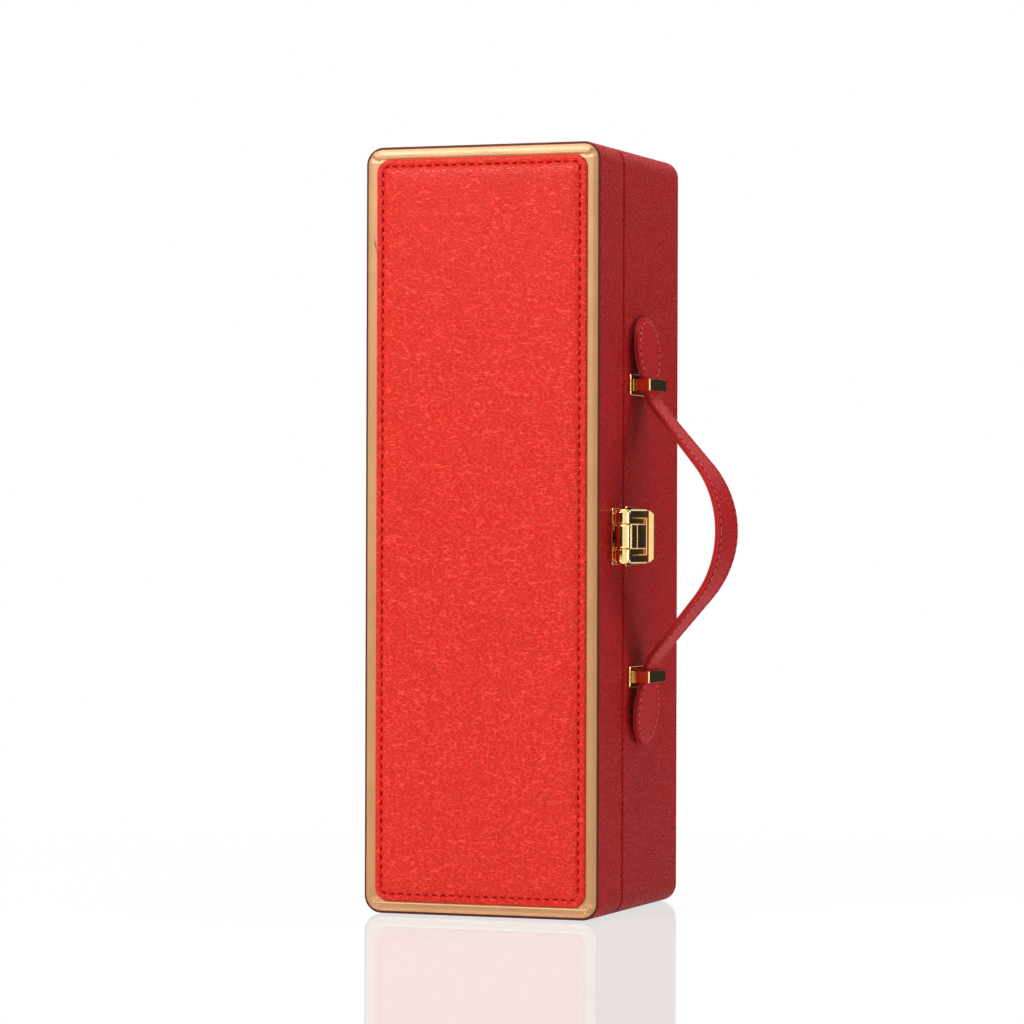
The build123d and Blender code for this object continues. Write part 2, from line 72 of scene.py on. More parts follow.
# Panel: a flat rim, a sewn channel and a puffed middle
panel_radius = 6.0 * mm
stitch_inset = 3.2 * mm
stitch_pitch = 4.1 * mm
stitch_row_radius = 2.6 * mm
channel_depth = 0.8 * mm
channel_half = 0.8 * mm
panel_crown = 0.8 * mm
puff_width = 1.8 * mm

# Gold border: how far its leather rolls out between the edge and the panel, how high it
# gathers at the corners, and the fold there, as an angle round the corner and half its width
border_roll = 0.45 * mm
corner_gather = 0.35 * mm
fold_turn = math.radians(42)
fold_half = math.radians(9)

# How steeply a face leans along Y where it counts as a cut side, or as the wrap's front lip
side_slope = 0.55
lip_slope = 0.3

# Stitches, and needle holes drawn as dark beads of painted shade, each by its length, its girth
# and how far it stands out
panel_thread_size = (2.3 * mm, 0.95 * mm, 0.5 * mm)
panel_hole_size = (2.4 * mm, 1.5 * mm, 0.2 * mm)
strap_thread_size = (2.3 * mm, 1.0 * mm, 0.42 * mm)
strap_hole_size = (1.3 * mm, 1.0 * mm, 0.12 * mm)

# Inside: the velvet's thickness, and how far a pad is drawn in and may swell again
velvet_thickness = 1.2 * mm
pad_shrink = 1.0 * mm
pad_swell = 1.4 * mm

# How far the metal's sharp edges are eased
hinge_ease = 0.15 * mm
strike_ease = 0.2 * mm
latch_ease = 0.3 * mm
loop_ease = 0.35 * mm

# Strap handle, seen from the front: its bends, and its outline seen from the right
loop_spacing = (upper_loop_low.z + upper_loop_high.z - lower_loop_low.z - lower_loop_high.z) / 2
strap_rise_at_loop = 4.9 * mm
strap_thickness = 2.4 * mm
strap_back_thickness = 1.1 * mm
grip_bend_radius = 46.75 * mm
loop_bend_radius = 19.25 * mm
leg_lean = math.radians(40)
tail_lean = math.radians(5)
grip_half_width = 14.25 * mm
neck_half_width = 8.75 * mm
leaf_radius = 15.6 * mm
leaf_reach = 15.4 * mm
neck_offset = 3.0 * mm
strap_stitch_inset = 2.2 * mm
strap_stitch_pitch = 3.4 * mm
strap_dome = 0.25 * mm


# Mesh helpers

def rounded_ring(bm, width, height, radius, y):
    """The edge loop of an upright rounded rectangle about the case's middle, at depth y."""
    made = bmesh.ops.create_grid(bm, x_segments=1, y_segments=1, size=0.5)
    corners = made["verts"]
    bmesh.ops.scale(bm, vec=(width, height, 1), verts=corners)
    rounded = bmesh.ops.bevel(
        bm, geom=corners, affect="VERTICES", offset=max(radius, smallest_corner),
        segments=corner_steps, profile=0.5, material=-1,
    )
    verts = rounded["verts"]
    face = verts[0].link_faces[0]
    edges = list(face.edges)
    bmesh.ops.delete(bm, geom=[face], context="FACES_ONLY")
    upright = Matrix.Translation((0, y, mid_z)) @ Matrix.Rotation(math.radians(90), 4, "X")
    bmesh.ops.transform(bm, matrix=upright, verts=verts)
    return edges


def case_ring(bm, inset, y):
    """The case's outline, drawn in all round by inset, at depth y."""
    return rounded_ring(
        bm, case_width - 2 * inset, case_height - 2 * inset, corner_radius - inset, y
    )


def panel_ring(bm, inset, y):
    """The front panel's outline, drawn in all round by inset, at depth y."""
    return rounded_ring(
        bm,
        panel_high.x - panel_low.x - 2 * inset,
        panel_high.z - panel_low.z - 2 * inset,
        panel_radius - inset,
        y,
    )


def skin(bm, rings, closed=False):
    """Bridges each ring to the next, and the last to the first where the skin is closed."""
    for near, far in zip(rings, rings[1:]):
        bmesh.ops.bridge_loops(bm, edges=near + far)
    if closed:
        bmesh.ops.bridge_loops(bm, edges=rings[-1] + rings[0])


def cap(bm, ring):
    bmesh.ops.contextual_create(bm, geom=ring)


def make_piece(name, bm, finish, body, replaces=(), sharp=40):
    """Turns a bmesh into a piece that rides on a body, smooth but for its sharp edges."""
    for face in bm.faces:
        face.smooth = True
    for edge in bm.edges:
        if len(edge.link_faces) == 2 and edge.calc_face_angle() > math.radians(sharp):
            edge.smooth = False
    mesh = bpy.data.meshes.new(name)
    bm.to_mesh(mesh)
    bm.free()
    mesh.materials.append(finish)
    made = bpy.data.objects.new(name, mesh)
    bpy.context.collection.objects.link(made)
    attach(made, body)
    if replaces:
        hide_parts(*replaces)
    return made


def even_shading(piece):
    """Keeps wide flats flat-shaded beside small rounds."""
    weigh = piece.modifiers.new("even_shading", "WEIGHTED_NORMAL")
    weigh.keep_sharp = True
    return piece


def welded_copy(node):
    """A node's own mesh with its loose triangles welded and its flats rejoined."""
    bm = bmesh.new()
    bm.from_mesh(frame["nodes"][node].data)
    bmesh.ops.remove_doubles(bm, verts=bm.verts, dist=0.002 * mm)
    bmesh.ops.dissolve_limit(
        bm, angle_limit=math.radians(1), verts=bm.verts, edges=bm.edges
    )
    return bm


def eased(node, name, finish, body, ease):
    """A metal node with its sharp edges eased, so that they catch the light."""
    bm = welded_copy(node)
    crisp = [
        e for e in bm.edges
        if len(e.link_faces) == 2 and e.calc_face_angle() > math.radians(24)
    ]
    bmesh.ops.bevel(
        bm, geom=crisp, affect="EDGES", offset=ease, segments=3, profile=0.5,
        material=-1, clamp_overlap=True,
    )
    return even_shading(make_piece(name, bm, finish, body, [node], sharp=50))


def paint_edges(piece, finish, slope, least_y=-1.0, most_y=1.0):
    """Gives the faces that lean along Y by more than slope, within a depth, their own finish."""
    piece.data.materials.append(finish)
    for face in piece.data.polygons:
        if abs(face.normal.y) > slope and least_y < face.center.y < most_y:
            face.material_index = 1


# Node helpers for the materials

def add(tree, kind, settings=None, inputs=None):
    """Adds a shader node; an input may be a plain value or another node's socket."""
    node = tree.nodes.new(kind)
    for key, value in (settings or {}).items():
        setattr(node, key, value)
    for key, value in (inputs or {}).items():
        if isinstance(value, bpy.types.NodeSocket):
            tree.links.new(value, node.inputs[key])
        else:
            node.inputs[key].default_value = value
    return node


def new_finish(name):
    """A new material, its node tree and its main shader."""
    finish = bpy.data.materials.new(name)
    finish.use_nodes = True
    tree = finish.node_tree
    return finish, tree, tree.nodes["Principled BSDF"]


def set_shader(tree, shader, values):
    for key, value in values.items():
        if isinstance(value, bpy.types.NodeSocket):
            tree.links.new(value, shader.inputs[key])
        else:
            shader.inputs[key].default_value = value


def on_object(tree, scale):
    """Object coordinates, scaled to the pattern's own size along each axis."""
    coords = add(tree, "ShaderNodeTexCoord").outputs["Object"]
    mapping = add(tree, "ShaderNodeMapping", inputs={"Vector": coords, "Scale": scale})
    return mapping.outputs["Vector"]


def mix_colours(tree, factor, first, second, blend="MIX"):
    node = add(tree, "ShaderNodeMix", {"data_type": "RGBA", "blend_type": blend})
    for socket, value in ((node.inputs[0], factor), (node.inputs[6], first),
                          (node.inputs[7], second)):
        if isinstance(value, bpy.types.NodeSocket):
            tree.links.new(value, socket)
        else:
            socket.default_value = value
    return node.outputs[2]


def math_node(tree, operation, first, second=0.0):
    return add(
        tree, "ShaderNodeMath", {"operation": operation}, {0: first, 1: second}
    ).outputs[0]


def rgba(colour, level=1.0):
    return (colour[0] * level, colour[1] * level, colour[2] * level, 1.0)


# Materials

def grained_leather(name, colour, crease, cell, stretch, depth, roughness, specular, ridged=False):
    """Pebble-grained leather, or ridged: thin raised wrinkles between flat cells. The crease
    colour sits on the cell edges, as painted shade in the creases of pebbled leather and as a
    painted highlight on the crests of ridged leather.
    """
    finish, tree, shader = new_finish(name)
    across = 1 / cell
    place = on_object(tree, (across, across, across * stretch))
    wander = add(tree, "ShaderNodeTexNoise", inputs={"Vector": place, "Scale": 0.55, "Detail": 2})
    bent = add(tree, "ShaderNodeVectorMath", {"operation": "MULTIPLY_ADD"}, {
        0: wander.outputs["Color"], 1: (1.1, 1.1, 1.1), 2: place,
    }).outputs[0]
    edges = add(tree, "ShaderNodeTexVoronoi", {"feature": "DISTANCE_TO_EDGE"}, {
        "Vector": bent, "Scale": 1.0, "Randomness": 1.0,
    }).outputs["Distance"]
    pebbles = add(tree, "ShaderNodeMapRange", {"interpolation_type": "SMOOTHSTEP"}, {
        "Value": edges, "From Min": 0.0, "From Max": 0.17 if ridged else 0.42,
    }).outputs["Result"]
    fine = add(tree, "ShaderNodeTexNoise", inputs={
        "Vector": place, "Scale": 2.6, "Detail": 2,
    }).outputs[0]
    height = math_node(tree, "MULTIPLY_ADD", fine, 0.15 if ridged else 0.35)
    tree.links.new(pebbles, height.node.inputs[2])
    bump = add(tree, "ShaderNodeBump", {"invert": ridged}, {
        "Strength": 1.0, "Distance": depth, "Height": height,
    }).outputs[0]
    patches = add(tree, "ShaderNodeTexNoise", inputs={
        "Vector": on_object(tree, (28, 28, 28)), "Scale": 1.0, "Detail": 2,
    }).outputs[0]
    worn = mix_colours(tree, patches, rgba(colour, 0.93), rgba(colour, 1.05))
    # The crease colour along the cell edges is painted light: shade in pebble creases, a highlight
    # on ridged crests.
    grain_painted_light = mix_colours(tree, pebbles, rgba(crease), worn)
    dulled = add(tree, "ShaderNodeMapRange", inputs={
        "Value": fine, "To Min": roughness - 0.05, "To Max": roughness + 0.08,
    }).outputs["Result"]
    set_shader(tree, shader, {
        "Base Color": grain_painted_light, "Roughness": dulled, "Specular IOR Level": specular,
        "Normal": bump,
    })
    return finish


def gold_leather(name):
    """Smooth gold-coated leather with faint mottling."""
    finish, tree, shader = new_finish(name)
    fine = add(tree, "ShaderNodeTexNoise", inputs={
        "Vector": on_object(tree, (900, 900, 900)), "Scale": 1.0, "Detail": 4,
    }).outputs[0]
    broad = add(tree, "ShaderNodeTexNoise", inputs={
        "Vector": on_object(tree, (60, 60, 60)), "Scale": 1.0, "Detail": 3,
    }).outputs[0]
    colour = mix_colours(tree, broad, (0.375, 0.181, 0.067, 1), (0.49, 0.253, 0.105, 1))
    bump = add(tree, "ShaderNodeBump", inputs={
        "Strength": 0.6, "Distance": 0.05 * mm, "Height": fine,
    }).outputs[0]
    rough = add(tree, "ShaderNodeMapRange", inputs={
        "Value": fine, "To Min": 0.3, "To Max": 0.48,
    }).outputs["Result"]
    set_shader(tree, shader, {
        "Base Color": colour, "Metallic": 0.2, "Roughness": rough, "Normal": bump,
    })
    return finish


def polished_metal(name, colour, roughness):
    """Polished plated metal with hairline wear."""
    finish, tree, shader = new_finish(name)
    hairlines = add(tree, "ShaderNodeTexNoise", inputs={
        "Vector": on_object(tree, (300, 2500, 300)), "Scale": 1.0, "Detail": 3,
    }).outputs[0]
    rough = add(tree, "ShaderNodeMapRange", inputs={
        "Value": hairlines, "To Min": roughness * 0.6, "To Max": roughness * 1.5,
    }).outputs["Result"]
    tone = mix_colours(tree, hairlines, rgba(colour, 0.94), rgba(colour, 1.0))
    set_shader(tree, shader, {"Base Color": tone, "Metallic": 1.0, "Roughness": rough})
    return finish


def velvet(name, colour):
    """Short pile velvet: dark straight on and lighter at a glancing angle."""
    finish, tree, shader = new_finish(name)
    pile = add(tree, "ShaderNodeTexNoise", inputs={
        "Vector": on_object(tree, (1400, 1400, 1400)), "Scale": 1.0, "Detail": 2,
    }).outputs[0]
    brushed = add(tree, "ShaderNodeTexNoise", inputs={
        "Vector": on_object(tree, (40, 40, 22)), "Scale": 1.0, "Detail": 3,
    }).outputs[0]
    shaded = mix_colours(tree, brushed, rgba(colour, 0.7), rgba(colour, 1.35))
    bump = add(tree, "ShaderNodeBump", inputs={
        "Strength": 0.7, "Distance": 0.25 * mm, "Height": pile,
    }).outputs[0]
    set_shader(tree, shader, {
        "Base Color": shaded, "Roughness": 0.95, "Normal": bump,
        "Sheen Weight": 0.6, "Sheen Roughness": 0.4, "Specular IOR Level": 0.1,
    })
    return finish


def speckled(name, dark, light, scale, roughness, specular=0.3):
    """A matt board or foam, speckled by its fibres or cells."""
    finish, tree, shader = new_finish(name)
    specks = add(tree, "ShaderNodeTexNoise", inputs={
        "Vector": on_object(tree, scale), "Scale": 1.0, "Detail": 5,
    }).outputs[0]
    bump = add(tree, "ShaderNodeBump", inputs={
        "Strength": 0.5, "Distance": 0.2 * mm, "Height": specks,
    }).outputs[0]
    set_shader(tree, shader, {
        "Base Color": mix_colours(tree, specks, dark, light), "Roughness": roughness,
        "Normal": bump, "Specular IOR Level": specular,
    })
    return finish


def sewing_thread(name, colour):
    """Twisted thread, with its twist as fine slanting ridges."""
    finish, tree, shader = new_finish(name)
    twist = add(tree, "ShaderNodeTexWave", {"bands_direction": "DIAGONAL"}, {
        "Vector": on_object(tree, (1, 1, 1)), "Scale": 900.0, "Distortion": 1.0,
    }).outputs[1]
    bump = add(tree, "ShaderNodeBump", inputs={
        "Strength": 0.6, "Distance": 0.1 * mm, "Height": twist,
    }).outputs[0]
    set_shader(tree, shader, {
        "Base Color": mix_colours(tree, twist, rgba(colour, 0.8), rgba(colour, 1.1)),
        "Roughness": 0.6, "Normal": bump,
    })
    return finish


panel_red = (0.585, 0.013, 0.004)
# Crest colour, lighter and pinker than the panel's red: a painted highlight on the grain's raised
# wrinkles.
panel_crest_highlight = (0.76, 0.042, 0.028)
side_red = (0.55, 0.006, 0.008)
# Crease colour, darker than the side leather: painted shade in the grain's creases.
side_crease_shade = (0.38, 0.004, 0.005)
strap_red = (0.46, 0.007, 0.009)
# Crease colour, darker than the strap leather: painted shade in the grain's creases.
strap_crease_shade = (0.38, 0.005, 0.007)
edge_red = (0.42, 0.016, 0.016)

panel_leather = grained_leather(
    "panel_leather", panel_red, panel_crest_highlight, 2.7 * mm, 2.7, 0.26 * mm, 0.3, 0.16, True
)
side_leather = grained_leather(
    "side_leather", side_red, side_crease_shade, 1.9 * mm, 1.6, 0.8 * mm, 0.42, 0.05
)
strap_leather = grained_leather(
    "strap_leather", strap_red, strap_crease_shade, 1.2 * mm, 1.0, 0.2 * mm, 0.38, 0.04
)
strap_edge_leather = grained_leather(
    "strap_edge_leather", edge_red, edge_red, 0.8 * mm, 1.0, 0.1 * mm, 0.5, 0.15
)
# A much darker red, given only to the lid wrap's front lip round the gold border.
darkened_lip_leather = grained_leather(
    "darkened_lip_leather", (0.10, 0.014, 0.014), (0.08, 0.01, 0.01), 0.8 * mm, 1.0, 0.05 * mm, 0.5, 0.2
)
gold_border = gold_leather("gold_border")
polished_gold = polished_metal("polished_gold", (1.0, 0.70, 0.29), 0.1)
clip_steel = polished_metal("clip_steel", (0.62, 0.6, 0.57), 0.28)
dark_velvet = velvet("dark_velvet", (0.030, 0.022, 0.020))
# The threads are lighter and pinker than the leather they sew: partly the thread's own red, partly
# a painted highlight where the thread catches the light.
red_thread_painted_highlight = sewing_thread("red_thread_painted_highlight", (0.72, 0.012, 0.01))
strap_thread_painted_highlight = sewing_thread("strap_thread_painted_highlight", (0.58, 0.06, 0.07))
# Near-black red for the needle holes: painted shade standing in for the shadow inside each hole.
painted_hole_shade = speckled(
    "painted_hole_shade", (0.10, 0.001, 0.001, 1), (0.16, 0.002, 0.002, 1), (900, 900, 900), 0.9, 0.0
)
fibre_board = speckled(
    "fibre_board", (0.33, 0.21, 0.11, 1), (0.52, 0.37, 0.22, 1), (700, 700, 150), 0.85
)
pale_foam = speckled(
    "pale_foam", (0.60, 0.56, 0.48, 1), (0.78, 0.74, 0.66, 1), (1200, 1200, 1200), 0.9
)


# Leather wraps round both shells

def ring_profile(bm, steps, ring=case_ring):
    return [ring(bm, inset * mm, y) for inset, y in steps]


def wrap_rear_shell():
    """The rear shell's leather, turned over the rim at the seam and onto the back."""
    rim = wrap_low.y
    back = wrap_high.y
    inner = mouth_inset / mm
    steps = [
        (1.0, rim + 1.0 * mm), (inner, rim + 1.0 * mm), (inner, rim + 0.3 * mm),
        (inner - 0.3, rim), (1.5, rim), (0.85, rim + 0.15 * mm), (0.35, rim + 0.5 * mm),
        (0.1, rim + 1.0 * mm), (0.0, rim + 1.6 * mm), (0.0, back - 1.0 * mm),
        (0.15, back - 0.5 * mm),
        (0.5, back - 0.12 * mm), (1.0, back), (4.7, back), (5.0, back - 0.25 * mm),
        (5.0, back - 1.0 * mm), (1.0, back - 1.0 * mm),
    ]
    bm = bmesh.new()
    skin(bm, ring_profile(bm, steps), closed=True)
    bmesh.ops.recalc_face_normals(bm, faces=bm.faces)
    even_shading(make_piece(
        "rear_wrap", bm, side_leather, "rear_case", ["rear_leather_wrap"]
    ))


def wrap_lid_shell():
    """The lid's leather, from behind the gold border round to the rim at the seam."""
    front = lid_low.y
    rim = lid_high.y
    inner = mouth_inset / mm
    steps = [
        (1.0, front + 0.25 * mm), (0.8, front), (0.4, front + 0.08 * mm),
        (0.12, front + 0.32 * mm), (0.0, front + 0.75 * mm), (0.0, rim - 1.6 * mm),
        (0.1, rim - 1.0 * mm), (0.35, rim - 0.5 * mm), (0.85, rim - 0.15 * mm), (1.5, rim),
        (inner - 0.3, rim), (inner, rim - 0.3 * mm), (inner, rim - 1.0 * mm),
        (1.0, rim - 1.0 * mm),
    ]
    bm = bmesh.new()
    skin(bm, ring_profile(bm, steps), closed=True)
    bmesh.ops.recalc_face_normals(bm, faces=bm.faces)
    wrap = even_shading(make_piece(
        "lid_wrap", bm, side_leather, "lid", ["lid_leather_wrap"]
    ))
    # The front lip takes the much darker red.
    paint_edges(wrap, darkened_lip_leather, lip_slope, most_y=front + leather_thickness)


def cover_back():
    """The leather sheet let into the back, inside the turned-over hem."""
    inset = (case_width - (back_sheet_high.x - back_sheet_low.x)) / 2 / mm
    front = back_sheet_low.y
    back = back_sheet_high.y
    steps = [
        (inset, front), (inset, back - 0.35 * mm), (inset + 0.12, back - 0.1 * mm),
        (inset + 0.4, back),
    ]
    bm = bmesh.new()
    rings = ring_profile(bm, steps)
    skin(bm, rings)
    cap(bm, rings[0])
    cap(bm, rings[-1])
    bmesh.ops.recalc_face_normals(bm, faces=bm.faces)
    even_shading(make_piece(
        "back_cover", bm, side_leather, "rear_case", ["back_leather_sheet"]
    ))


# Front face

def gather_at_corners(bm, lift):
    """Raises fine pleats and one fold in the gold leather, drawn round each corner."""
    corner_x = gold_high.x - corner_radius
    corner_z = (gold_high.z - gold_low.z) / 2 - corner_radius
    for vert in bm.verts:
        x = abs(vert.co.x) - corner_x
        z = abs(vert.co.z - mid_z) - corner_z
        if x <= 0 or z <= 0:
            continue
        turn = math.atan2(z, x)
        drawn_in = math.sin(2 * turn)
        seed = 2 * (vert.co.x > 0) + (vert.co.z > mid_z)
        pleats = noise.noise(Vector((turn * 5.5, math.hypot(x, z) * 160, seed * 7.3)))
        from_fold = (turn - fold_turn) / fold_half
        fold = math.exp(-(from_fold - 1) ** 2) - math.exp(-(from_fold + 1) ** 2)
        vert.co.y -= lift * drawn_in * (pleats + fold)


def border_face():
    """The gold leather over the front board, seen as the border round the panel."""
    inset = (case_width - (gold_high.x - gold_low.x)) / 2 / mm
    steps = [
        (inset, gold_high.y), (inset, gold_low.y + 0.4 * mm),
        (inset + 0.08, gold_low.y + 0.2 * mm), (inset + 0.25, gold_low.y + 0.05 * mm),
    ]
    strips = 14
    for step in range(strips + 1):
        share = step / strips
        roll = border_roll * (1 - (2 * share - 1) ** 2)
        steps.append((inset + 0.5 + share * 4.6, gold_low.y - roll))
    steps.append((inset + 6.0, gold_low.y))
    bm = bmesh.new()
    rings = ring_profile(bm, steps)
    skin(bm, rings)
    cap(bm, rings[0])
    cap(bm, rings[-1])
    bmesh.ops.recalc_face_normals(bm, faces=bm.faces)
    gather_at_corners(bm, corner_gather)
    even_shading(make_piece(
        "gold_facing", bm, gold_border, "lid", ["gold_leather_facing"]
    ))


def panel_face_y(inset):
    """The panel's surface at a distance in from its edge: rim, sewn channel and crown."""
    face = panel_low.y
    from_row = abs(inset - stitch_inset)
    if from_row < channel_half:
        sunk = channel_depth * (1 + math.cos(math.pi * from_row / channel_half)) / 2
        return face + sunk
    if inset > stitch_inset:
        rise = 1 - math.exp(-(inset - stitch_inset - channel_half) / puff_width)
        return face - panel_crown * rise
    return face


def front_panel():
    """The padded panel's leather cover, with its edge rounded down to the gold border."""
    seat = panel_high.y
    face = panel_low.y
    round_off = 1.2 * mm
    steps = [(0.15, seat), (0.0, seat - 0.15 * mm), (0.0, face + round_off)]
    for turn in (22.5, 45, 67.5):
        angle = math.radians(turn)
        steps.append((
            round_off / mm * (1 - math.cos(angle)),
            face + round_off * (1 - math.sin(angle)),
        ))
    insets = [1.2, 1.8, 2.4, 2.6, 2.8, 3.0, 3.2, 3.4, 3.6, 3.8, 4.0, 4.5, 5.0, 5.5, 6.5,
              8.0, 10.0, 13.0, 18.0, 26.0, 36.0]
    for inset in insets:
        steps.append((inset, panel_face_y(inset * mm)))
    bm = bmesh.new()
    rings = ring_profile(bm, steps, panel_ring)
    skin(bm, rings)
    cap(bm, rings[0])
    cap(bm, rings[-1])
    bmesh.ops.recalc_face_normals(bm, faces=bm.faces)
    panel = even_shading(make_piece(
        "panel_cover", bm, panel_leather, "lid", ["panel_leather"]
    ))


# Stitches

def add_bead(bm, place, along, out, size):
    """One bead of thread, or one needle hole drawn as a dark bead of painted shade, lying along
    one direction at place.
    """
    length, girth, rise = size
    side = along.cross(out).normalized()
    turned = Matrix((side, along.normalized(), out)).transposed().to_4x4()
    sized = Matrix.Diagonal((girth / 2, length / 2, rise, 1))
    bmesh.ops.create_uvsphere(
        bm, u_segments=6, v_segments=5, radius=1,
        matrix=Matrix.Translation(place) @ turned @ sized,
    )


def row_spots(half_width, half_height, radius, pitch):
    """Evenly spaced (x, z, direction) spots round a rounded rectangle."""
    flat_x = half_width - radius
    flat_z = half_height - radius
    bend = math.pi / 2 * radius
    runs = [2 * flat_z, bend, 2 * flat_x, bend, 2 * flat_z, bend, 2 * flat_x, bend]
    total = sum(runs)
    count = round(total / pitch)
    spots = []
    for step in range(count):
        left = step * total / count
        part = 0
        while left > runs[part]:
            left -= runs[part]
            part += 1
        quarter = part // 2
        turn = Matrix.Rotation(quarter * math.pi / 2, 2)
        sides = (flat_x, flat_z) if quarter % 2 == 0 else (flat_z, flat_x)
        if part % 2 == 0:
            spot = Vector((sides[0] + radius, left - sides[1]))
            heading = Vector((0, 1))
        else:
            angle = left / radius
            spot = Vector((
                sides[0] + radius * math.cos(angle), sides[1] + radius * math.sin(angle)
            ))
            heading = Vector((-math.sin(angle), math.cos(angle)))
        spots.append((turn @ spot, turn @ heading))
    return spots


def panel_stitches():
    """The row of stitches in the panel's channel, with a needle hole, a dark bead of painted
    shade, between each two.
    """
    half_width = (panel_high.x - panel_low.x) / 2 - stitch_inset
    half_height = (panel_high.z - panel_low.z) / 2 - stitch_inset
    floor_y = panel_face_y(stitch_inset)
    out = Vector((0, -1, 0))
    threads = bmesh.new()
    holes = bmesh.new()
    spots = row_spots(half_width, half_height, stitch_row_radius, stitch_pitch / 2)
    for index, (spot, heading) in enumerate(spots):
        place = Vector((spot.x, floor_y, mid_z + spot.y))
        along = Vector((heading.x, 0, heading.y))
        if index % 2:
            add_bead(holes, place, along, out, panel_hole_size)
        else:
            slant = (along + 0.12 * along.cross(out)).normalized()
            add_bead(threads, place, slant, out, panel_thread_size)
    make_piece("panel_thread", threads, red_thread_painted_highlight, "lid", sharp=180)
    make_piece("panel_hole_shade_marks", holes, painted_hole_shade, "lid", sharp=180)


# Strap handle

def strap_line(drop):
    """The strap's line at a height above the grip's middle: its x, and its lean outwards."""
    reach = loop_spacing / 2
    rise = grip_bend_radius * math.sin(leg_lean)
    back = loop_bend_radius * (math.sin(leg_lean) - math.sin(tail_lean))
    leg_height = reach - rise - back
    tail_x = right_x + strap_rise_at_loop
    bend_x = tail_x + loop_bend_radius * math.cos(tail_lean)
    bend_z = reach + loop_bend_radius * math.sin(tail_lean)
    leg_end_x = bend_x - loop_bend_radius * math.cos(leg_lean)
    leg_start_x = leg_end_x + leg_height * math.tan(leg_lean)
    grip_x = leg_start_x - grip_bend_radius * math.cos(leg_lean)
    if drop < rise:
        lean = math.asin(drop / grip_bend_radius)
        return grip_x + grip_bend_radius * math.cos(lean), lean
    if drop < rise + leg_height:
        return leg_start_x - (drop - rise) * math.tan(leg_lean), leg_lean
    if drop < reach:
        lean = math.asin((bend_z - drop) / loop_bend_radius)
        return bend_x - loop_bend_radius * math.cos(lean), lean
    return tail_x - (drop - reach) * math.tan(tail_lean), tail_lean


def strap_half_width(drop, inset):
    """Half the strap's width at a height above the grip's middle, drawn in by inset."""
    grip = grip_half_width - inset
    neck = neck_half_width - inset
    end = leaf_radius - inset
    neck_drop = loop_spacing / 2 - neck_offset
    if drop < neck_drop:
        return neck + (grip - neck) * (1 + math.cos(math.pi * drop / neck_drop)) / 2
    fall = loop_spacing / 2 + leaf_reach - neck_drop
    gain = end - neck
    flare = (fall ** 2 - gain * (end + neck)) / (2 * gain)
    join = neck_drop + flare * fall / (end + flare)
    if drop < join:
        return neck + flare - math.sqrt(flare ** 2 - (drop - neck_drop) ** 2)
    past = drop - neck_drop - fall
    return math.sqrt(max(end ** 2 - past ** 2, 0))


def strap_place(height, across, offset):
    """A point on the strap, and its outward direction, at a height above the middle."""
    x, lean = strap_line(abs(height))
    up = math.copysign(1, height)
    out = Vector((math.cos(lean), 0, up * math.sin(lean)))
    return Vector((x, across, mid_z + height)) + out * offset, out


def strap_section(bm, back, front, dome, edge):
    """A section across the grip: flat at the back, domed in front, with rounded edges."""
    half = grip_half_width
    made = bmesh.ops.create_grid(bm, x_segments=1, y_segments=1, size=0.5)
    corners = made["verts"]
    bmesh.ops.scale(bm, vec=(2 * half, front - back, 1), verts=corners)
    rounded = bmesh.ops.bevel(
        bm, geom=corners, affect="VERTICES", offset=edge, segments=3, profile=0.5,
        material=-1,
    )
    face = rounded["verts"][0].link_faces[0]
    longest = sorted(face.edges, key=lambda e: e.calc_length())[-2:]
    bmesh.ops.subdivide_edges(bm, edges=longest, cuts=9)
    for vert in bm.verts:
        if vert.co.y > 0:
            vert.co.y -= dome * (vert.co.x / half) ** 2
    bmesh.ops.delete(bm, geom=list(bm.faces), context="FACES_KEEP_BOUNDARY")
    return list(bm.edges), list(bm.verts)


def strap_stand(height, back, front):
    """Where a section stands at a height, widened or narrowed to the strap there."""
    centre, out = strap_place(height, 0, (front + back) / 2)
    across = Vector((0, 1, 0))
    basis = Matrix((across, out, across.cross(out))).transposed().to_4x4()
    wide = strap_half_width(abs(height), 0) / grip_half_width
    return Matrix.Translation(centre) @ basis @ Matrix.Diagonal((wide, 1, 1, 1))


def strap_heights():
    """Heights of the strap's sections, closer together towards the tips."""
    tip = loop_spacing / 2 + leaf_reach + leaf_radius
    round_from = tip - leaf_radius
    heights = [1.6 * mm * step for step in range(int(round_from / (1.6 * mm)) + 1)]
    for turn in range(1, 15):
        heights.append(round_from + leaf_radius * math.sin(math.radians(turn * 6)))
    heights = sorted(h for h in heights if h < tip - 0.05 * mm)
    return [-h for h in reversed(heights[1:])] + heights


def strap_layer(name, back, front, dome, edge, finish, replaces):
    """Draws one section along the strap from its lower tip to its upper one."""
    bm = bmesh.new()
    edges, verts = strap_section(bm, back, front, dome, edge)
    first = edges
    stand = Matrix.Identity(4)
    for height in strap_heights():
        if stand != Matrix.Identity(4):
            drawn = bmesh.ops.extrude_edge_only(bm, edges=edges)["geom"]
            verts = [item for item in drawn if isinstance(item, bmesh.types.BMVert)]
            new = set(verts)
            edges = [
                item for item in drawn
                if isinstance(item, bmesh.types.BMEdge) and set(item.verts) <= new
            ]
        here = strap_stand(height, back, front)
        bmesh.ops.transform(bm, matrix=here @ stand.inverted(), verts=verts)
        stand = here
    cap(bm, first)
    cap(bm, edges)
    bmesh.ops.recalc_face_normals(bm, faces=bm.faces)
    layer = make_piece(name, bm, finish, "handle", replaces, sharp=50)
    paint_edges(layer, strap_edge_leather, side_slope)


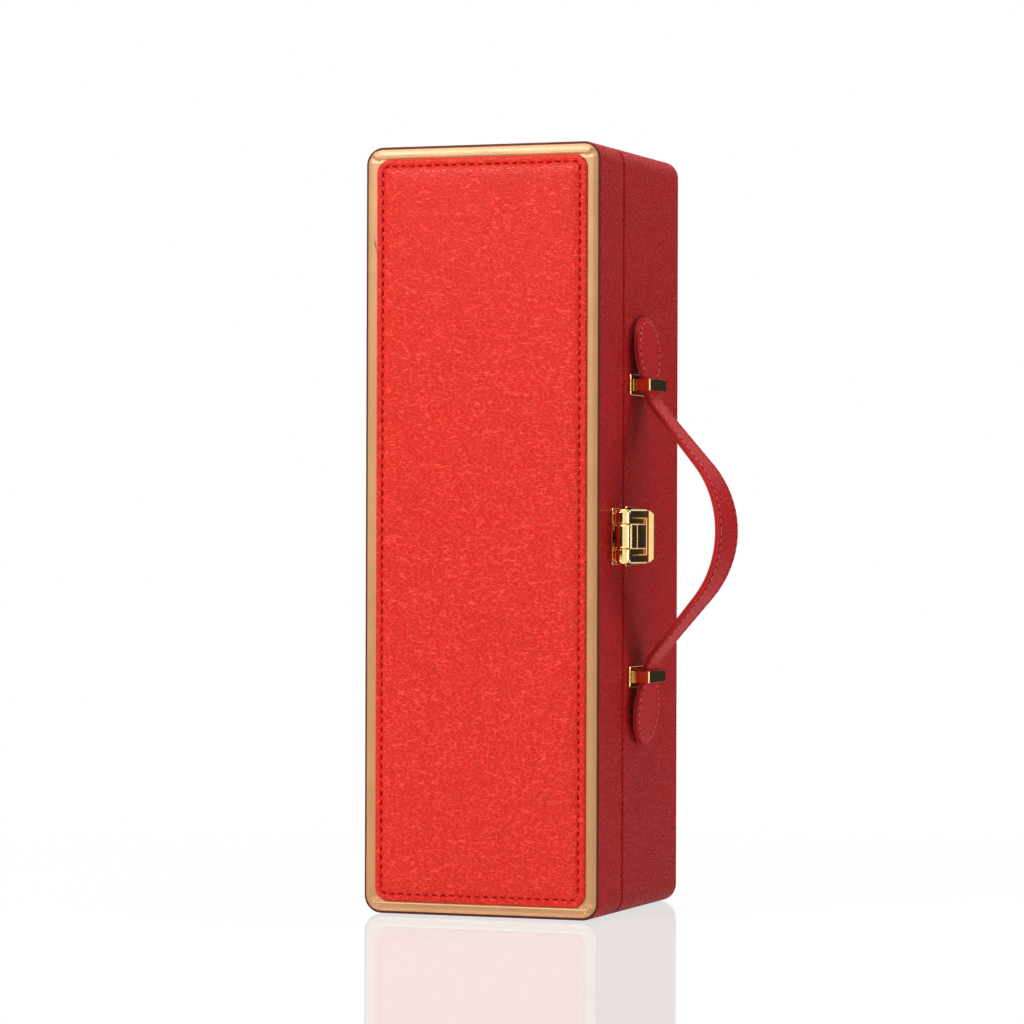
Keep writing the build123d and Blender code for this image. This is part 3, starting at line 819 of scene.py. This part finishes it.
def strap_stitch_spots():
    """Evenly spaced (height, across) spots along one quarter of the strap's stitch row."""
    tip = loop_spacing / 2 + leaf_reach + leaf_radius - strap_stitch_inset
    step = 0.1 * mm
    spots = []
    walked = 0.0
    drop = 0.0
    last = Vector((0.0, strap_half_width(0.0, strap_stitch_inset)))
    while drop < tip:
        drop += step
        lean = strap_line(drop)[1]
        here = Vector((last.x + step / math.cos(lean),
                       strap_half_width(drop, strap_stitch_inset)))
        walked += (here - last).length
        last = here
        if walked >= (len(spots) + 0.5) * strap_stitch_pitch / 2:
            spots.append((drop, here.y))
    return spots


def strap_stitches(name, offset, out_sign):
    """Stitches, and needle holes drawn as dark beads of painted shade, along both edges of one
    face of the strap.
    """
    threads = bmesh.new()
    holes = bmesh.new()
    spots = strap_stitch_spots()
    for up in (-1, 1):
        for side in (-1, 1):
            for index, (drop, across) in enumerate(spots):
                ahead = spots[min(index + 1, len(spots) - 1)]
                behind = spots[max(index - 1, 0)]
                place, out = strap_place(up * drop, side * across, offset)
                far = strap_place(up * ahead[0], side * ahead[1], offset)[0]
                near = strap_place(up * behind[0], side * behind[1], offset)[0]
                along = (far - near).normalized()
                out = (out - out.dot(along) * along).normalized() * out_sign
                if index % 2:
                    add_bead(holes, place, along, out, strap_hole_size)
                else:
                    add_bead(threads, place, along, out, strap_thread_size)
    make_piece(name + "_thread", threads, strap_thread_painted_highlight, "handle", sharp=180)
    make_piece(name + "_hole_shade_marks", holes, painted_hole_shade, "handle", sharp=180)


def strap_handle():
    """The strap: face leather domed over its edge, backing leather, and stitches on both."""
    split = strap_back_thickness - strap_thickness / 2
    strap_layer(
        "strap_face", split, strap_thickness / 2, strap_dome, 0.5 * mm, strap_leather,
        ["handle_face_leather"],
    )
    strap_layer(
        "strap_backing", -strap_thickness / 2, split - 0.05 * mm, 0.0, 0.3 * mm,
        strap_edge_leather, ["handle_backing_leather"],
    )
    strap_stitches("strap_face", strap_thickness / 2 - 0.15 * mm, 1)
    strap_stitches("strap_back", -strap_thickness / 2, -1)


# Velvet inside

def line_shell(name, body, node, low, high, opens_back):
    """A shell's velvet: a cup with a soft rim, open at the seam."""
    outer = (case_width - (high.x - low.x)) / 2 / mm
    inner = outer + velvet_thickness / mm
    floor, rim, sign = (low.y, high.y, 1) if opens_back else (high.y, low.y, -1)
    steps = [
        (outer, floor), (outer, rim - sign * 0.6 * mm), (outer + 0.2, rim - sign * 0.15 * mm),
        (outer + 0.6, rim), (inner - 0.2, rim - sign * 0.15 * mm), (inner, rim - sign * 0.6 * mm),
        (inner, floor + sign * 2.4 * mm), (inner + 0.3, floor + sign * 1.5 * mm),
        (inner + 1.2, floor + sign * 1.2 * mm),
    ]
    bm = bmesh.new()
    rings = ring_profile(bm, steps)
    skin(bm, rings)
    cap(bm, rings[0])
    cap(bm, rings[-1])
    bmesh.ops.recalc_face_normals(bm, faces=bm.faces)
    even_shading(make_piece(name, bm, dark_velvet, body, [node]))


def swell(pad, limit):
    """Blows the pad up a little as cloth, and lets no point move further than limit."""
    cloth = pad.modifiers.new("swell", "CLOTH")
    cloth.settings.use_pressure = True
    cloth.settings.uniform_pressure_force = 4
    cloth.settings.effector_weights.gravity = 0
    for step in range(1, 21):
        bpy.context.scene.frame_set(step)
    posed = pad.evaluated_get(bpy.context.evaluated_depsgraph_get())
    moved = [vert.co.copy() for vert in posed.data.vertices]
    pad.modifiers.remove(cloth)
    for vert, target in zip(pad.data.vertices, moved):
        shift = target - vert.co
        if shift.length > limit:
            shift = shift.normalized() * limit
        vert.co += shift
    bpy.context.scene.frame_set(1)


def velvet_pad(name, node, body, shrink, limit):
    """A velvet-covered foam pad, softened from its plain block and swollen as cloth."""
    bm = welded_copy(node)
    pad = make_piece(name, bm, dark_velvet, body, [node], sharp=180)
    remesh = pad.modifiers.new("even_mesh", "REMESH")
    remesh.mode = "VOXEL"
    remesh.voxel_size = 2.5 * mm
    solid = bpy.data.meshes.new_from_object(
        pad.evaluated_get(bpy.context.evaluated_depsgraph_get())
    )
    pad.modifiers.remove(remesh)
    soft = bmesh.new()
    soft.from_mesh(solid)
    for vert in soft.verts:
        vert.co -= vert.normal * shrink
    for _ in range(4):
        bmesh.ops.smooth_vert(
            soft, verts=soft.verts, factor=0.5, use_axis_x=True, use_axis_y=True,
            use_axis_z=True,
        )
    for face in soft.faces:
        face.smooth = True
    soft.to_mesh(pad.data)
    soft.free()
    swell(pad, limit)
    finer = pad.modifiers.new("finer", "SUBSURF")
    finer.levels = 1
    finer.render_levels = 1


# Metal

def metalwork():
    """Hinges, loops and latch, with their edges eased."""
    pieces = []
    for place in ("upper_", "lower_"):
        pieces += [
            (place + "hinge_rear_leaf", place + "hinge_rear_leaf_eased", "rear_case", hinge_ease),
            (place + "hinge_lid_leaf", place + "hinge_lid_leaf_eased", "lid", hinge_ease),
            (place + "loop", place + "loop_eased", "rear_case", loop_ease),
            (place + "loop_plate", place + "loop_plate_eased", "rear_case", loop_ease),
        ]
    pieces += [
        ("latch_strike_plate", "strike_plate_eased", "rear_case", strike_ease),
        ("latch_plate", "latch_plate_eased", "lid", latch_ease),
        ("latch_flap", "latch_flap_eased", "latch", latch_ease),
    ]
    for node, name, body, ease in pieces:
        eased(node, name, polished_gold, body, ease)


def finish_nodes():
    """Gives every node that still shows its own finish."""
    finishes = {
        "fibre_board": fibre_board, "foam": pale_foam, "brass": polished_gold,
        "spring_steel": clip_steel, "velvet": dark_velvet, "red_leather": side_leather,
        "panel_leather": panel_leather, "strap_leather": strap_leather,
        "gold_leather": gold_border,
    }
    slots = {part["node"]: part["material_slot"] for part in frame["record"]["subparts"]}
    for node, thing in frame["nodes"].items():
        thing.data.materials.clear()
        thing.data.materials.append(finishes[slots[node]])


# Stage, light and camera

def camera_only(tree, seen, lit):
    """White to the camera, metal and glass, and ordinary light to the rest."""
    path = add(tree, "ShaderNodeLightPath").outputs
    looked_at = math_node(tree, "MAXIMUM", path["Is Camera Ray"], path["Is Glossy Ray"])
    looked_at = math_node(tree, "MAXIMUM", looked_at, path["Is Transmission Ray"])
    both = add(tree, "ShaderNodeMixShader", inputs={0: looked_at, 1: lit, 2: seen})
    return both.outputs[0]


def set_world(strength):
    world = bpy.data.worlds.new("studio")
    bpy.context.scene.world = world
    world.use_nodes = True
    tree = world.node_tree
    tree.nodes.clear()
    white = add(tree, "ShaderNodeBackground", inputs={0: (1, 1, 1, 1), 1: 1.0}).outputs[0]
    soft = add(tree, "ShaderNodeBackground", inputs={0: (1, 1, 1, 1), 1: strength}).outputs[0]
    end = add(tree, "ShaderNodeOutputWorld")
    tree.links.new(camera_only(tree, white, soft), end.inputs[0])


def pale_floor(mirror_share):
    """A white floor with a faint mirror of what stands on it."""
    bm = bmesh.new()
    bmesh.ops.create_grid(bm, x_segments=1, y_segments=1, size=6)
    bmesh.ops.translate(bm, vec=(0, 0, wrap_low.z - 0.2 * mm), verts=bm.verts)
    mesh = bpy.data.meshes.new("floor")
    bm.to_mesh(mesh)
    bm.free()
    floor = bpy.data.objects.new("floor", mesh)
    bpy.context.collection.objects.link(floor)
    finish = bpy.data.materials.new("pale_floor")
    finish.use_nodes = True
    tree = finish.node_tree
    tree.nodes.clear()
    matt = add(tree, "ShaderNodeBsdfDiffuse", inputs={0: (0.86, 0.85, 0.85, 1)}).outputs[0]
    lit = add(tree, "ShaderNodeEmission", inputs={0: (1, 1, 1, 1), 1: 1.0}).outputs[0]
    spot = add(tree, "ShaderNodeTexCoord").outputs["Object"]
    away = add(tree, "ShaderNodeVectorMath", {"operation": "LENGTH"}, {0: spot}).outputs["Value"]
    white_share = add(tree, "ShaderNodeMapRange", {"interpolation_type": "SMOOTHSTEP"}, {
        "Value": away, "From Min": 0.15, "From Max": 0.6, "To Min": 0.94, "To Max": 1.0,
    }).outputs["Result"]
    lifted = add(tree, "ShaderNodeMixShader", inputs={0: white_share, 1: matt, 2: lit}).outputs[0]
    seen = camera_only(tree, lifted, matt)
    gloss = add(tree, "ShaderNodeBsdfGlossy", inputs={
        "Color": (1, 1, 1, 1), "Roughness": 0.03,
    }).outputs[0]
    both = add(tree, "ShaderNodeMixShader", inputs={0: mirror_share, 1: seen, 2: gloss})
    end = add(tree, "ShaderNodeOutputMaterial")
    tree.links.new(both.outputs[0], end.inputs[0])
    mesh.materials.append(finish)


def dark_card(name, place, width, height):
    """A black card beside the set, seen only in polished surfaces."""
    bm = bmesh.new()
    bmesh.ops.create_grid(bm, x_segments=1, y_segments=1, size=0.5)
    facing = (Vector((right_x, 0, mid_z)) - Vector(place)).to_track_quat("Z", "Y").to_matrix()
    sized = Matrix.Diagonal((width, height, 1, 1))
    matrix = Matrix.Translation(place) @ facing.to_4x4() @ sized
    bmesh.ops.transform(bm, matrix=matrix, verts=bm.verts)
    mesh = bpy.data.meshes.new(name)
    bm.to_mesh(mesh)
    bm.free()
    card = bpy.data.objects.new(name, mesh)
    bpy.context.collection.objects.link(card)
    finish, tree, shader = new_finish(name)
    set_shader(tree, shader, {"Base Color": (0.01, 0.008, 0.008, 1), "Roughness": 1.0})
    mesh.materials.append(finish)
    card.visible_camera = False
    card.visible_diffuse = False
    card.visible_shadow = False
    card.visible_transmission = False


def area_light(name, place, target, size, power):
    data = bpy.data.lights.new(name, "AREA")
    data.shape = "RECTANGLE"
    data.size, data.size_y = size
    data.energy = power
    lamp = bpy.data.objects.new(name, data)
    lamp.location = place
    lamp.rotation_euler = (Vector(target) - Vector(place)).to_track_quat("-Z", "Y").to_euler()
    bpy.context.collection.objects.link(lamp)


def set_camera():
    """A long lens, level with the case's middle and a little round to its right."""
    data = bpy.data.cameras.new("camera")
    data.sensor_width = 36.0
    data.lens = 143.2
    data.clip_end = 50
    camera = bpy.data.objects.new("camera", data)
    camera.location = (648.9 * mm, -1754.2 * mm, 172.5 * mm)
    camera.rotation_euler = (math.radians(90.26), math.radians(-0.18), math.radians(20.47))
    bpy.context.collection.objects.link(camera)
    bpy.context.scene.camera = camera


wrap_rear_shell()
wrap_lid_shell()
cover_back()
border_face()
front_panel()
panel_stitches()
strap_handle()
line_shell(
    "rear_lining", "rear_case", "rear_velvet_lining", rear_lining_low, rear_lining_high, False
)
line_shell("lid_lining", "lid", "lid_velvet_lining", lid_lining_low, lid_lining_high, True)
for pad_name, pad_node, pad_body in (
    ("cradle_pad", "bottle_cradle", "rear_case"),
    ("neck_pad", "neck_rest", "rear_case"),
    ("foot_cushion", "foot_pad", "rear_case"),
    ("lid_cushion", "lid_pad", "lid"),
):
    velvet_pad(pad_name, pad_node, pad_body, pad_shrink, pad_swell)
metalwork()
finish_nodes()

set_world(0.13)
pale_floor(0.26)
dark_card("back_card", (0.5, 1.05, 0.05), 0.95, 0.86)
dark_card("front_card", (-0.25, -2.2, 0.1), 2.6, 1.5)
for lamp_name, lamp_place, lamp_size, lamp_power in (
    ("key_light", (-0.65, -1.45, 1.0), (0.7, 0.6), 29),
    ("side_light", (1.25, 0.85, 0.06), (0.7, 0.8), 14),
    ("top_light", (0.2, 0.0, 1.3), (0.7, 0.7), 12),
):
    area_light(lamp_name, lamp_place, (0, 0, mid_z), lamp_size, lamp_power)
set_camera()
bpy.context.scene.view_settings.view_transform = "Standard"
